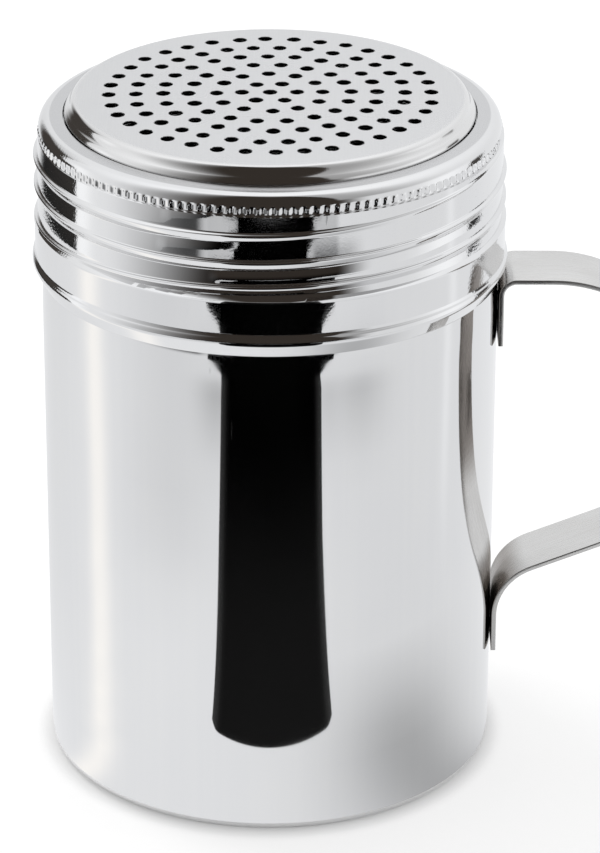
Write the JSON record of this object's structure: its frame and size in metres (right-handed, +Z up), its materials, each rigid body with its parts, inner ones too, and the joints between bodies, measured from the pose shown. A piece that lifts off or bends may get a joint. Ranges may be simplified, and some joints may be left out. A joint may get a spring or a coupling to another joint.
{
  "type": "sugar dredger",
  "caption": "Straight-sided metal shaker for sugar with a strap handle and a screw-on lid with a raised perforated top.",
  "frame": {"origin": "centre of the base, on the cup's axis, in the plane it stands on", "axes": "+Z up along the cup's axis, +X towards the handle, +Y completes a right-handed frame"},
  "size_m": [0.1019, 0.0728, 0.1083],
  "materials": {
    "polished_steel": "mirror polished, with fine wear scratches",
    "satin_steel": "satin, brushed along the strip",
    "disc_steel": "satin top, brighter wall",
    "weld_metal": "dull spot weld"
  },
  "bodies": {
    "cup_body": {"cup": "polished_steel", "handle_strap": "satin_steel", "weld_upper_high": "weld_metal", "weld_upper_low": "weld_metal", "weld_lower_high": "weld_metal", "weld_lower_low": "weld_metal"},
    "disc_body": {"sprinkler_disc": "disc_steel"},
    "collar_body": {"lid_collar": "polished_steel"}
  },
  "joints": [
    {"name": "lid_rise", "type": "slide", "parent": "cup_body", "child": "disc_body", "axis": [0, 0, 1], "range_m": [0, 0.0241]},
    {"name": "collar_turn", "type": "hinge", "parent": "disc_body", "child": "collar_body", "pos_m": [0, 0, 0.0925], "axis": [0, 0, 1], "range_deg": [0, 2060]}
  ],
  "couplings": [
    {"joint": "lid_rise", "follows": "collar_turn", "m_per_rad": 0.00066845}
  ]
}
